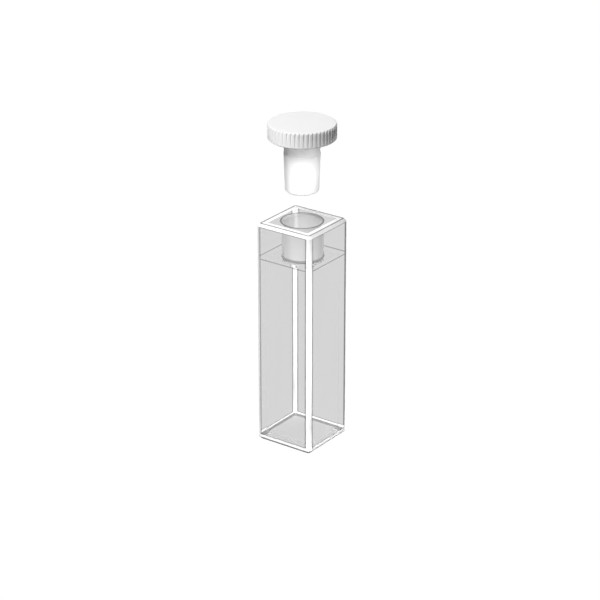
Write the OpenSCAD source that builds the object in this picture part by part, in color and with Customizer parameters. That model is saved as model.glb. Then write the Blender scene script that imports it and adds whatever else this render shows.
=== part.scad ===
// Square glass cuvette with a tapered neck and a knurled push-in stopper.
// Millimetres. The cell stands on Z = 0 with its centre line on the Z axis,
// and the stopper hangs on the same line, drawn straight out of the neck.

/* [Cell] */
// Inside width of the square chamber, which is the light path
path_w = 10; // [9:0.5:12]
// Thickness of the four window walls
wall_t = 1.25; // [1:0.05:1.5]
// Thickness of the floor
floor_t = 1.25; // [1:0.05:3]
// Height of the cell from its base to its rim
cell_h = 45; // [35:0.5:60]
// Thickness of the solid neck block fused across the top of the walls
neck_h = 7; // [5:0.25:9]
// Radius of the four upright edges
edge_r = 0.95; // [0.6:0.05:1.1]
// Bevel ground round the base and round the rim
edge_bevel = 0.5; // [0.2:0.05:0.55]
// Radius of the fused fillets up the chamber's four corners
chamber_r = 0.45; // [0.4:0.05:0.8]
// Size of the fused fillets round the chamber's floor and ceiling
chamber_bevel = 0.35; // [0.1:0.05:0.35]

/* [Tapered fit] */
// Diameter of the neck's bore at the rim, before its chamfer
mouth_d = 7.2; // [6.5:0.1:8]
// Chamfer round the mouth of the bore
mouth_chamfer = 0.25; // [0.05:0.05:0.4]
// Chamfer round the lower end of the bore, where it opens into the chamber
exit_chamfer = 0.2; // [0.05:0.05:0.4]
// Half angle of the taper, the same on the bore and on the plug
taper_deg = 2; // [1:0.25:3]
// Gap on each side between the plug and the bore, with the stopper seated
fit_gap = 0.03; // [0.01:0.01:0.08]

/* [Stopper head] */
// Diameter of the head over its ribs
head_d = 13; // [11:0.25:16]
// Thickness of the head
head_h = 3; // [2:0.1:5]
// Number of grip grooves round the head
groove_count = 50; // [30:2:60]
// Radius of the round-nosed cutter that makes each groove
groove_r = 0.22; // [0.12:0.02:0.28]
// Height of the plain rim left below the grooves
rim_h = 0.4; // [0.2:0.05:0.8]
// Radius of the head's upper edge
head_round = 0.35; // [0.1:0.05:0.6]
// Bevel on the head's lower edge
head_bevel = 0.2; // [0.1:0.05:0.3]
// Gap between the head and the cell's rim, with the stopper seated
seat_gap = 0.05; // [0.05:0.05:0.5]

/* [Stopper plug] */
// Length of the plug below the head
plug_len = 10.4; // [8:0.1:14]
// Length of the straight relief between the head and the taper
relief_len = 2.9; // [1:0.1:4]
// Depth of the relief below the top of the taper
relief_depth = 0.08; // [0.02:0.01:0.15]
// Bevel round the plug's lower end
plug_bevel = 0.3; // [0.1:0.05:0.6]

/* [Position] */
// Height of the stopper above its seat
lift = 16.45; // [0:0.05:40]

/* [Hidden] */
$fn = 96;

// Extra depth that lets a cutter pass clean through a face
cut = 1;

cell_w = path_w + 2 * wall_t;
chamber_h = cell_h - floor_t - neck_h;
taper = tan(taper_deg);
mouth_r = mouth_d / 2;
head_r = head_d / 2;
head_z = cell_h + seat_gap + lift;

// Radius of the neck's bore at a depth below the rim
function bore_r(depth) = mouth_r - depth * taper;

// Radius of the plug at a distance below the head: the bore's, less the fit gap
function plug_r(below) = bore_r(below - seat_gap) - fit_gap;

// Upright section across the middle of a bevelled bar, from base to rim
module bar_section(width, height, bevel) {
    half = width / 2;
    polygon([
        [-half + bevel, 0], [half - bevel, 0], [half, bevel], [half, height - bevel],
        [half - bevel, height], [-half + bevel, height], [-half, height - bevel], [-half, bevel]
    ]);
}

// Square bar with round upright edges and a bevel at both ends
module bevelled_bar(width, height, radius, bevel) {
    core = width - 2 * radius;
    for (turn = [0, 90])
        rotate([0, 0, turn])
            translate([0, core / 2, 0])
                rotate([90, 0, 0])
                    linear_extrude(core)
                        bar_section(width, height, bevel);
    for (x = [-core / 2, core / 2], y = [-core / 2, core / 2])
        translate([x, y, 0])
            rotate_extrude()
                polygon([
                    [0, 0], [radius - bevel, 0], [radius, bevel],
                    [radius, height - bevel], [radius - bevel, height], [0, height]
                ]);
}

// Square chamber between the floor and the neck block, with its fused fillets
module chamber() {
    translate([0, 0, floor_t])
        bevelled_bar(path_w, chamber_h, chamber_r, chamber_bevel);
}

// Tapered bore that runs through the neck block, chamfered at both ends
module neck_bore() {
    ceiling_z = cell_h - neck_h;
    exit_r = bore_r(neck_h) + exit_chamfer;
    rotate_extrude()
        polygon([
            [0, ceiling_z - cut], [exit_r, ceiling_z - cut], [exit_r, ceiling_z],
            [bore_r(neck_h - exit_chamfer), ceiling_z + exit_chamfer],
            [bore_r(mouth_chamfer), cell_h - mouth_chamfer],
            [mouth_r + mouth_chamfer, cell_h],
            [mouth_r + mouth_chamfer + cut, cell_h + cut], [0, cell_h + cut]
        ]);
}

// Cell: walls, floor and neck block fused into one piece of clear glass
module cell() {
    color("gainsboro", 0.45)
        difference() {
            bevelled_bar(cell_w, cell_h, edge_r, edge_bevel);
            chamber();
            neck_bore();
        }
}

// Head blank: a disc from the seat face upwards, bevelled below and rounded above
module head_blank() {
    rotate_extrude() {
        polygon([
            [0, 0], [head_r - head_bevel, 0], [head_r, head_bevel],
            [head_r, head_h - head_round], [0, head_h - head_round]
        ]);
        square([head_r - head_round, head_h]);
        translate([head_r - head_round, head_h - head_round])
            circle(head_round);
    }
}

// Grip grooves, open at the top of the head and stopping above its plain rim
module grip_grooves() {
    for (i = [0 : groove_count - 1])
        rotate([0, 0, i * 360 / groove_count])
            translate([head_r, 0, rim_h])
                cylinder(r = groove_r, h = head_h, $fn = 24);
}

// Plug: a straight relief, then the taper, with a bevelled lower end
module plug() {
    top_r = plug_r(relief_len);
    relief_r = top_r - relief_depth;
    tip_r = plug_r(plug_len);
    rotate_extrude()
        polygon([
            [0, head_bevel], [relief_r, head_bevel],
            [relief_r, -relief_len + relief_depth], [top_r, -relief_len],
            [plug_r(plug_len - plug_bevel), -plug_len + plug_bevel],
            [tip_r - plug_bevel, -plug_len], [0, -plug_len]
        ]);
}

// Stopper: head and plug turned from one bar of white fluoropolymer
module stopper() {
    color("white")
        translate([0, 0, head_z]) {
            difference() {
                head_blank();
                grip_grooves();
            }
            plug();
        }
}

cell();
stopper();
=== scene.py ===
"""A square glass cuvette on a light table, with its knurled stopper drawn out of the neck."""
import math

import bmesh
import bpy
from mathutils import Matrix, Vector


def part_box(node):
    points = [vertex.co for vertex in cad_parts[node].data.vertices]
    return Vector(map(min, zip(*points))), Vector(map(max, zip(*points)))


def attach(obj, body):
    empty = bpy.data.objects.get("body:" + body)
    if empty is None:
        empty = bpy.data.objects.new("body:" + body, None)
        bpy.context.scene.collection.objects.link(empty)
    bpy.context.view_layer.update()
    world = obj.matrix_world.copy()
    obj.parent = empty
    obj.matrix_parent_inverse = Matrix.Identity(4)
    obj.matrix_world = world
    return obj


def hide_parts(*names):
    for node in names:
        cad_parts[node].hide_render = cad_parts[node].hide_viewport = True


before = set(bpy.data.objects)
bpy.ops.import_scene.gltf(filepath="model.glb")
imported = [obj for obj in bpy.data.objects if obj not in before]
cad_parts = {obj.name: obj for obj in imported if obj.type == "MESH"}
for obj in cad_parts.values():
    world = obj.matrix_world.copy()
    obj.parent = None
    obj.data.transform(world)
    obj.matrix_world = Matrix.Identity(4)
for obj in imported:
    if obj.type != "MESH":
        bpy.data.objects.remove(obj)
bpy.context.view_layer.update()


# ------------------------------------------------------------------------------------------
# Fused cell
# One piece of clear glass: four polished windows, a floor and a bored neck block, melted
# together. Its corners, rim and a margin above its base are ground white, with painted shade
# lines beside them, a painted dark ring at the mouth and a painted contact shadow on the foot,
# and the bore is reamed matt. It stands loose on its satin underside.
# ------------------------------------------------------------------------------------------
mm = 0.001
cell_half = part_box("cell")[1].x
cell_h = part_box("cell")[1].z
wall_t = 1.25 * mm
floor_t = 1.25 * mm
neck_h = 7 * mm
corner_r = 0.95 * mm
edge_bevel = 0.5 * mm
chamber_r = 0.45 * mm
chamber_bevel = 0.35 * mm
mouth_r = 3.6 * mm
mouth_chamfer = 0.25 * mm
exit_chamfer = 0.2 * mm
taper = math.tan(math.radians(2))
mouth_edge = mouth_r + mouth_chamfer
rim_land = 4.6 * mm
base_margin = 1.15 * mm
ceiling_z = cell_h - neck_h
bore_exit_r = mouth_r - neck_h * taper
corner_steps = 10
bore_steps = 128
merge_gap = 1e-7
level_gap = 0.01 * mm


def add_bar(form, low, high, radius, bevel):
    """Adds a square bar with round upright corners and a bevel round both ends."""
    old_edges = set(form.edges)
    size = high - low
    place = Matrix.Translation((low + high) / 2) @ Matrix.Diagonal((*size, 1))
    bmesh.ops.create_cube(form, size=1, matrix=place)
    new_edges = [e for e in form.edges if e not in old_edges]
    uprights = [e for e in new_edges if abs(e.verts[0].co.z - e.verts[1].co.z) > size.z / 2]
    bmesh.ops.bevel(form, geom=uprights, offset=radius, offset_type="OFFSET",
                    segments=corner_steps, profile=0.5, affect="EDGES", material=-1)
    new_edges = [e for e in form.edges if e not in old_edges]
    rims = [e for e in new_edges if abs(e.verts[0].co.z - e.verts[1].co.z) < size.z / 2]
    bmesh.ops.bevel(form, geom=rims, offset=bevel, offset_type="OFFSET", segments=1,
                    profile=0.5, affect="EDGES", material=-1)


def open_level(form, z):
    """Takes out the flat face at a height and returns the edges that were round it."""
    level = [f for f in form.faces if abs(f.normal.z) > 0.99]
    flat = [f for f in level if abs(f.calc_center_median().z - z) < level_gap]
    edges = set(e for face in flat for e in face.edges)
    bmesh.ops.delete(form, geom=flat, context="FACES_ONLY")
    return list(edges)


def add_ring(form, radius, z, segments, turn=0.0):
    """Adds a ring of edges, turned about Z, and returns them."""
    place = Matrix.Translation((0, 0, z)) @ Matrix.Rotation(turn, 4, "Z")
    made = bmesh.ops.create_circle(form, cap_ends=False, radius=radius, segments=segments,
                                   matrix=place)
    return list(set(e for vert in made["verts"] for e in vert.link_edges))


def extend_ring(form, edges, radius, z):
    """Carries a ring on to another radius and height and returns its new edges."""
    made = bmesh.ops.extrude_edge_only(form, edges=edges)["geom"]
    verts = [item for item in made if isinstance(item, bmesh.types.BMVert)]
    old_r = verts[0].co.xy.length
    bmesh.ops.scale(form, verts=verts, vec=(radius / old_r, radius / old_r, 1))
    bmesh.ops.translate(form, verts=verts, vec=(0, 0, z - verts[0].co.z))
    fresh = set(verts)
    return [e for e in made if isinstance(e, bmesh.types.BMEdge) and fresh.issuperset(e.verts)]


form = bmesh.new()
outside = Vector((cell_half, cell_half, 0))
top = Vector((0, 0, cell_h))
add_bar(form, -outside, outside + top, corner_r, edge_bevel)
bmesh.ops.bisect_plane(form, geom=form.verts[:] + form.edges[:] + form.faces[:], dist=merge_gap,
                       plane_co=(0, 0, base_margin), plane_no=(0, 0, 1))
rim_edges = open_level(form, cell_h)
land_edges = add_ring(form, rim_land * math.sqrt(2), cell_h, 4, math.pi / 4)
mouth_edges = add_ring(form, mouth_edge, cell_h, bore_steps)
bmesh.ops.triangle_fill(form, edges=rim_edges + land_edges, use_beauty=True)
bmesh.ops.triangle_fill(form, edges=land_edges + mouth_edges, use_beauty=True)
ring = extend_ring(form, mouth_edges, mouth_r - mouth_chamfer * taper, cell_h - mouth_chamfer)
ring = extend_ring(form, ring, bore_exit_r + exit_chamfer * taper, ceiling_z + exit_chamfer)
ring = extend_ring(form, ring, bore_exit_r + exit_chamfer, ceiling_z)
chamber_half = cell_half - wall_t
inside = Vector((chamber_half, chamber_half, 0))
low_corner = Vector((0, 0, floor_t)) - inside
high_corner = Vector((0, 0, ceiling_z)) + inside
add_bar(form, low_corner, high_corner, chamber_r, chamber_bevel)
ceiling_edges = open_level(form, ceiling_z)
bmesh.ops.triangle_fill(form, edges=ceiling_edges + ring, use_beauty=True)
bmesh.ops.remove_doubles(form, verts=form.verts, dist=merge_gap)
bmesh.ops.recalc_face_normals(form, faces=form.faces)

POLISHED, GROUND, BORE, MOUTH = range(4)
for face in form.faces:
    face.smooth = True
    middle = face.calc_center_median()
    reach = max(abs(middle.x), abs(middle.y))
    slanted = max(abs(part) for part in face.normal) < 0.995
    in_neck = middle.xy.length < mouth_edge and middle.z > ceiling_z
    on_corner = slanted and reach > cell_half - wall_t / 2
    on_rim = middle.z > cell_h - level_gap and reach > rim_land
    if in_neck and abs(face.normal.z) < 0.99:
        face.material_index = MOUTH if middle.z > cell_h - mouth_chamfer else BORE
    elif on_corner or on_rim or middle.z < base_margin:
        face.material_index = GROUND
mesh = bpy.data.meshes.new("fused_cell")
form.to_mesh(mesh)
form.free()
mesh.set_sharp_from_angle(angle=math.radians(30))
cell = bpy.data.objects.new("fused_cell", mesh)
bpy.context.scene.collection.objects.link(cell)
flat_windows = cell.modifiers.new("flat_windows", "WEIGHTED_NORMAL")
flat_windows.keep_sharp = True


class Field:
    """A value that varies over a surface: one output socket in a material."""

    def __init__(self, tree, socket=None):
        self.tree = tree
        self.socket = socket

    def node(self, kind, settings=None, values=None, output=0):
        """Adds a node with its settings, then its values and links, and returns one output."""
        made = self.tree.nodes.new(kind)
        for name, value in (settings or {}).items():
            setattr(made, name, value)
        for name, value in (values or {}).items():
            if isinstance(value, Field):
                self.tree.links.new(value.socket, made.inputs[name])
            else:
                made.inputs[name].default_value = value
        return Field(self.tree, made.outputs[output])

    def math(self, operation, *values):
        return self.node("ShaderNodeMath", {"operation": operation}, dict(enumerate(values)))

    def __add__(self, other):
        return self.math("ADD", self, other)

    def __sub__(self, other):
        return self.math("SUBTRACT", self, other)

    def __rsub__(self, other):
        return self.math("SUBTRACT", other, self)

    def __mul__(self, other):
        return self.math("MULTIPLY", self, other)

    __radd__ = __add__
    __rmul__ = __mul__

    def __abs__(self):
        return self.math("ABSOLUTE", self)

    def least(self, other):
        return self.math("MINIMUM", self, other)

    def most(self, other):
        return self.math("MAXIMUM", self, other)

    def root(self):
        return self.math("SQRT", self)

    def rise(self, low, high):
        """Goes smoothly from 0 at low to 1 at high."""
        values = {"Value": self, "From Min": low, "From Max": high}
        return self.node("ShaderNodeMapRange", {"interpolation_type": "SMOOTHSTEP"}, values)

    def mix(self, low, high):
        """A colour that goes from low to high as this value goes from 0 to 1."""
        values = {0: self, 6: low, 7: high}
        return self.node("ShaderNodeMix", {"data_type": "RGBA"}, values, output=2)

    def noise(self, scale, detail, stretch=(1, 1, 1)):
        """Noise on this position, drawn out along the axes that stretch makes small."""
        place = self.node("ShaderNodeMapping", None, {"Vector": self, "Scale": stretch})
        values = {"Vector": place, "Scale": scale, "Detail": detail}
        return self.node("ShaderNodeTexNoise", None, values)

    def feed(self, shader, name):
        self.tree.links.new(self.socket, shader.inputs[name])


def grey(level):
    return (level, level, level, 1)


def new_finish(name):
    """A material, its shader and the position that its patterns are drawn on."""
    material = bpy.data.materials.new(name)
    material.use_nodes = True
    shader = material.node_tree.nodes["Principled BSDF"]
    place = Field(material.node_tree).node("ShaderNodeTexCoord", output="Object")
    return material, shader, place


def split(place):
    """The x, y and z of a position."""
    return [place.node("ShaderNodeSeparateXYZ", None, {0: place}, output=axis) for axis in range(3)]


# A line is at its full tone up to its core, and fades out from there to its width.
glass_ior = 1.1
skin = 0.4 * mm
window_tone = 0.65
# This tone darkens the fused joint, a real dark line, and the painted shade lines that stand for
# the dark refracted edges beside the ground edges.
joint_and_shade_tone = 0.2
shade_line_w = 0.2 * mm
shade_line_core = 0.7 * shade_line_w
rim_shade_w = 0.3 * mm
rim_shade_core = 0.9 * rim_shade_w
fused_w = 0.15 * mm
fused_core = 0.5 * fused_w
mouth_shade_w = 0.4 * mm
mouth_shade_core = 0.7 * mouth_shade_w
mouth_shade_tone = 0.08
exit_line = 0.2 * mm
exit_tone = 0.25
grain_low = 0.9
grain_high = 0.97
foot_shadow_w = 0.12 * mm
foot_shadow_tone = 0.24
base_tone = 0.49
grain_depth = 0.02 * mm
fade = 0.02 * mm


def polished_glass():
    """Polished faces: a faint grey skin, the fused joint, and painted shade lines at edges and
    mouth.
    """
    material, shader, place = new_finish("polished_glass")
    x, y, z = split(place)
    lateral = abs(x).least(abs(y))
    on_window = abs(x).most(abs(y)).rise(cell_half - skin, cell_half - skin / 2)
    on_base = 1 - z.rise(skin / 2, skin)
    on_top = z.rise(cell_h - skin, cell_h - skin / 2)
    edge = cell_half - corner_r
    # Painted shade: thin dark lines beside the ground corners, under the rim bevel and over the
    # base margin stand in for the dark edges that refraction gives there.
    shade_beside = lateral.rise(edge - shade_line_w, edge - shade_line_core)
    rim_low = cell_h - edge_bevel
    shade_under_rim = z.rise(rim_low - shade_line_w, rim_low - shade_line_core)
    shade_over_base = 1 - z.rise(base_margin + shade_line_core, base_margin + shade_line_w)
    joint = 1 - abs(z - ceiling_z).rise(fused_core, fused_w)
    joint_and_shade_lines = shade_beside.most(shade_under_rim).most(shade_over_base).most(joint) * on_window
    out = (x * x + y * y).root()
    # Painted shade: a dark ring round the mouth on the top face stands in for the mouth's dark
    # reflection.
    ring = 1 - out.rise(mouth_edge + mouth_shade_core, mouth_edge + mouth_shade_w)
    cloud = place.noise(180, 2, (1, 1, 0.3))
    shade = cloud.mix(grey(window_tone * 0.98), grey(window_tone * 1.02))
    tone = on_window.most(on_base).most(on_top).mix(grey(1), shade)
    tone = joint_and_shade_lines.mix(tone, grey(joint_and_shade_tone))
    (ring * on_top).mix(tone, grey(mouth_shade_tone)).feed(shader, "Base Color")
    shader.inputs["Roughness"].default_value = 0
    shader.inputs["IOR"].default_value = glass_ior
    shader.inputs["Transmission Weight"].default_value = 1
    return material


def ground_glass():
    """Ground edges: white and matt, with painted shade round the rim, a painted foot shadow and a
    greyer underside.
    """
    material, shader, place = new_finish("ground_glass")
    x, y, z = split(place)
    corner = cell_half - corner_r
    over_x = (abs(x) - corner).most(0)
    over_y = (abs(y) - corner).most(0)
    out = (over_x * over_x + over_y * over_y).root()
    rim_out = corner_r - edge_bevel
    on_top = z.rise(cell_h - fade, cell_h - fade / 2)
    # Painted shade: a dark line round the rim's inner edge stands in for a dark refracted arris.
    rim_shade_line = out.rise(rim_out - rim_shade_w, rim_out - rim_shade_core) * on_top
    grain = place.noise(9000, 3)
    # Painted contact shadow: the bevel and a thin line above it are darkened as if shaded where the
    # cell meets the table; the flat underside is greyer.
    low = z.rise(fade / 2, fade).mix(grey(base_tone), grey(foot_shadow_tone))
    foot_shadow_top = edge_bevel + foot_shadow_w
    over_foot_shadow = z.rise(foot_shadow_top - fade, foot_shadow_top)
    tone = over_foot_shadow.mix(low, grain.mix(grey(grain_low), grey(grain_high)))
    rim_shade_line.mix(tone, grey(joint_and_shade_tone)).feed(shader, "Base Color")
    values = {"Strength": 0.2, "Distance": grain_depth, "Height": grain}
    place.node("ShaderNodeBump", None, values).feed(shader, "Normal")
    shader.inputs["Roughness"].default_value = 0.5
    shader.inputs["IOR"].default_value = glass_ior
    shader.inputs["Specular IOR Level"].default_value = 0.1
    shader.inputs["Transmission Weight"].default_value = 0.1
    return material


def bore_glass(name, tone, transmission):
    """Inside of the neck: reamed to its taper, with faint marks round it and a dark lower edge."""
    material, shader, place = new_finish(name)
    z = split(place)[2]
    edge = ceiling_z + exit_chamfer
    marks = place.noise(2500, 2, (0.1, 0.1, 1)).mix(grey(tone * 0.97), grey(tone))
    z.rise(edge, edge + exit_line).mix(grey(exit_tone), marks).feed(shader, "Base Color")
    shader.inputs["Roughness"].default_value = 0.5
    shader.inputs["IOR"].default_value = glass_ior
    shader.inputs["Transmission Weight"].default_value = transmission
    return material


mesh.materials.append(polished_glass())
mesh.materials.append(ground_glass())
mesh.materials.append(bore_glass("reamed_bore", tone=0.57, transmission=0.4))
mesh.materials.append(bore_glass("ground_mouth", tone=0.53, transmission=0.3))
cell.visible_shadow = False
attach(cell, "cell")
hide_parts("cell")


# ------------------------------------------------------------------------------------------
# Stopper
# Head and plug turned from one bar of white fluoropolymer. The head has fifty round-nosed
# grooves for the fingers over a plain rim, and the plug has a short relief, then the taper
# that seats in the neck. It hangs clear of the cell on the same centre line.
# ------------------------------------------------------------------------------------------
stopper_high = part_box("stopper")[1]
head_r = 6.5 * mm
head_h = 3 * mm
head_z = stopper_high.z - head_h
groove_count = 50
groove_r = 0.22 * mm
plain_rim = 0.4 * mm
head_round = 0.35 * mm
head_bevel = 0.2 * mm
seat_gap = 0.05 * mm
fit_gap = 0.03 * mm
plug_len = 10.4 * mm
relief_len = 2.9 * mm
relief_depth = 0.08 * mm
plug_bevel = 0.3 * mm
round_steps = 6


def plug_r(below):
    """Radius of the plug's taper at a distance below the head."""
    return mouth_r - (below - seat_gap) * taper - fit_gap


def turned_outline():
    """Half outline of the stopper, from its top centre to its lower centre."""
    points = [(0, head_h)]
    for number in range(round_steps + 1):
        turn = math.pi / 2 * (1 - number / round_steps)
        points.append((head_r - head_round + head_round * math.cos(turn),
                       head_h - head_round + head_round * math.sin(turn)))
    points += [(head_r, plain_rim), (head_r, head_bevel), (head_r - head_bevel, 0)]
    relief_r = plug_r(relief_len) - relief_depth
    points += [(relief_r, 0), (relief_r, relief_depth - relief_len)]
    points.append((plug_r(relief_len), -relief_len))
    points.append((plug_r(plug_len - plug_bevel), plug_bevel - plug_len))
    points += [(plug_r(plug_len) - plug_bevel, -plug_len), (0, -plug_len)]
    return points


groove_steps = 10
rib_steps = 6
steps_per_groove = groove_steps + rib_steps
turn_steps = groove_count * steps_per_groove
pitch = 2 * math.pi / groove_count


def grip_step(step):
    """Angle past a groove's middle, and how far out the head reaches there."""
    turn = math.pi * (step / groove_steps - 0.5)
    across = groove_r * math.sin(min(turn, math.pi / 2))
    inward = head_r - groove_r * math.cos(min(turn, math.pi / 2))
    edge = math.atan2(groove_r, head_r)
    if step <= groove_steps:
        return math.atan2(across, inward), min(math.hypot(across, inward), head_r)
    return edge + (pitch - 2 * edge) * (step - groove_steps) / rib_steps, head_r


form = bmesh.new()
outline = [form.verts.new((radius, 0, head_z + z)) for radius, z in turned_outline()]
line = [form.edges.new(pair) for pair in zip(outline, outline[1:])]
bmesh.ops.spin(form, geom=outline + line, cent=(0, 0, 0), axis=(0, 0, 1), dvec=(0, 0, 0),
               angle=2 * math.pi, steps=turn_steps, use_merge=True, use_duplicate=False)
bmesh.ops.remove_doubles(form, verts=form.verts, dist=merge_gap)
for vert in form.verts:
    radius = vert.co.xy.length
    if radius > merge_gap:
        turns = math.atan2(vert.co.y, vert.co.x) / (2 * math.pi)
        index = round(turns * turn_steps) % turn_steps
        angle, reach = grip_step(index % steps_per_groove)
        angle += pitch * (index // steps_per_groove)
        if vert.co.z > head_z + plain_rim + level_gap:
            radius = min(radius, reach)
        vert.co.xy = radius * math.cos(angle), radius * math.sin(angle)
bmesh.ops.recalc_face_normals(form, faces=form.faces)
for face in form.faces:
    face.smooth = True
mesh = bpy.data.meshes.new("knurled_stopper")
form.to_mesh(mesh)
form.free()
mesh.set_sharp_from_angle(angle=math.radians(30))
stopper = bpy.data.objects.new("knurled_stopper", mesh)
bpy.context.scene.collection.objects.link(stopper)

plastic_ior = 1.36
plastic_low = 0.84
plastic_high = 0.9
least_roughness = 0.36
added_roughness = 0.12
mark_pitch = 0.09 * mm
mark_depth = 0.004 * mm


def white_fluoropolymer():
    """Turned white plastic: a soft sheen, with fine tool marks round the plug and on the head."""
    material, shader, place = new_finish("white_fluoropolymer")
    x, y, z = split(place)
    out = (x * x + y * y).root()
    rings = (out + z) * (2 * math.pi / mark_pitch)
    marks = rings.math("SINE", rings) * place.noise(700, 3)
    cloud = place.noise(160, 3)
    cloud.mix(grey(plastic_low), grey(plastic_high)).feed(shader, "Base Color")
    (cloud * added_roughness + least_roughness).feed(shader, "Roughness")
    values = {"Strength": 0.25, "Distance": mark_depth, "Height": marks}
    place.node("ShaderNodeBump", None, values).feed(shader, "Normal")
    shader.inputs["IOR"].default_value = plastic_ior
    shader.inputs["Specular IOR Level"].default_value = 0.3
    return material


mesh.materials.append(white_fluoropolymer())
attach(stopper, "stopper")
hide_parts("stopper")


# ------------------------------------------------------------------------------------------
# Light table
# A level sheet of white opal acrylic, lit from below, that the cell stands on. It reaches
# past the edges of every view.
# ------------------------------------------------------------------------------------------
table_half = 3
table_drop = 0.1 * mm
form = bmesh.new()
bmesh.ops.create_grid(form, x_segments=1, y_segments=1, size=table_half)
bmesh.ops.translate(form, verts=form.verts, vec=(0, 0, -table_drop))
mesh = bpy.data.meshes.new("light_table")
form.to_mesh(mesh)
form.free()
table = bpy.data.objects.new("light_table", mesh)
bpy.context.scene.collection.objects.link(table)
material, shader, place = new_finish("lit_opal")
shader.inputs["Base Color"].default_value = grey(0.02)
shader.inputs["Roughness"].default_value = 0.9
shader.inputs["Specular IOR Level"].default_value = 0
place.noise(15, 2).mix(grey(0.99), grey(1)).feed(shader, "Emission Color")
shader.inputs["Emission Strength"].default_value = 1
mesh.materials.append(material)
table.visible_diffuse = False
table.visible_shadow = False


# ------------------------------------------------------------------------------------------
# Studio light
# Narrow strips light the cell's ground edges from in front, from behind and along the foot,
# soft panels light the stopper, a small lamp fills the stopper's shadow on the rim, and a
# broad key stands high on the left. The room is pale but lights matt surfaces only faintly.
# ------------------------------------------------------------------------------------------
camera_azimuth = math.radians(35.82)


def toward(azimuth, elevation=0.0):
    """Direction from the cell: azimuth 0 is -Y, and it turns towards +X."""
    flat = math.cos(elevation)
    return Vector((math.sin(azimuth) * flat, -math.cos(azimuth) * flat, math.sin(elevation)))


def add_lamp(name, kind, power, direction, distance, middle=0.0):
    """Adds a lamp that shines back along a direction from the cell's centre line."""
    lamp = bpy.data.lights.new(name, kind)
    lamp.energy = power
    holder = bpy.data.objects.new(name, lamp)
    holder.location = Vector((0, 0, middle)) + direction * distance
    holder.rotation_mode = "QUATERNION"
    holder.rotation_quaternion = direction.to_track_quat("Z", "Y")
    bpy.context.scene.collection.objects.link(holder)
    holder.visible_camera = False
    holder.visible_transmission = False
    holder.visible_glossy = False
    return lamp


def add_strip(name, turn, distance, power, middle, width, height, spread):
    """Adds a soft strip that faces the centre line, turned from the camera's side."""
    azimuth = camera_azimuth + math.radians(turn)
    strip = add_lamp(name, "AREA", power, toward(azimuth), distance, middle)
    strip.shape = "RECTANGLE"
    strip.size = width
    strip.size_y = height
    strip.spread = math.radians(spread)


# name, turn, distance, power, middle, width, height, spread
add_strip("cell_strip", 12, 40 * mm, 0.0025, 24 * mm, 3 * mm, 36 * mm, 60)
add_strip("plug_strip", 24, 20 * mm, 0.0008, 55 * mm, 24 * mm, 8 * mm, 50)
add_strip("head_strip", -45, 20 * mm, 0.0001, 63 * mm, 8 * mm, 12 * mm, 90)
add_strip("rear_cell_strip", 192, 40 * mm, 0.0025, 24 * mm, 3 * mm, 36 * mm, 60)
add_strip("rear_head_strip", 160, 30 * mm, 0.0013, 60 * mm, 8 * mm, 16 * mm, 90)
add_strip("left_foot_strip", -36, 40 * mm, 0.00007, 1 * mm, 16 * mm, 2 * mm, 15)
add_strip("right_foot_strip", 54, 40 * mm, 0.00017, 1 * mm, 16 * mm, 2 * mm, 15)
back_right = toward(camera_azimuth + math.radians(142), math.radians(40))
rim_lamp = add_lamp("rim_lamp", "AREA", 0.00016, back_right, 25 * mm, 38 * mm)
rim_lamp.shape = "DISK"
rim_lamp.size = 3 * mm
rim_lamp.spread = math.radians(40)
high_left = toward(camera_azimuth - math.radians(38), math.radians(55))
key = add_lamp("key", "SUN", 3.7, high_left, 1)
key.angle = math.radians(35)

room_fill = 0.04
room = bpy.data.worlds.new("pale_room")
room.use_nodes = True
bpy.context.scene.world = room
background = room.node_tree.nodes["Background"]
ray = Field(room.node_tree).node("ShaderNodeLightPath", output="Is Diffuse Ray")
level = 1 - ray * (1 - room_fill)
level.feed(background, "Color")
background.inputs["Strength"].default_value = 1


# ------------------------------------------------------------------------------------------
# Camera
# A long lens looks down at a front corner of the cell.
# ------------------------------------------------------------------------------------------
camera_elevation = math.radians(23.57)
camera_distance = 457.4 * mm
aim_height = 28.72 * mm
aim_side = -0.39 * mm
back = toward(camera_azimuth, camera_elevation)
side = toward(camera_azimuth + math.pi / 2)
lens = bpy.data.cameras.new("long_lens")
lens.lens = 144
lens.sensor_width = 36
lens.clip_start = 10 * mm
lens.clip_end = 20
camera = bpy.data.objects.new("long_lens", lens)
camera.location = Vector((0, 0, aim_height)) + side * aim_side + back * camera_distance
camera.rotation_mode = "QUATERNION"
camera.rotation_quaternion = back.to_track_quat("Z", "Y")
scene = bpy.context.scene
scene.collection.objects.link(camera)
scene.camera = camera
scene.view_settings.view_transform = "Standard"
scene.cycles.max_bounces = 24
scene.cycles.glossy_bounces = 24
scene.cycles.transmission_bounces = 24
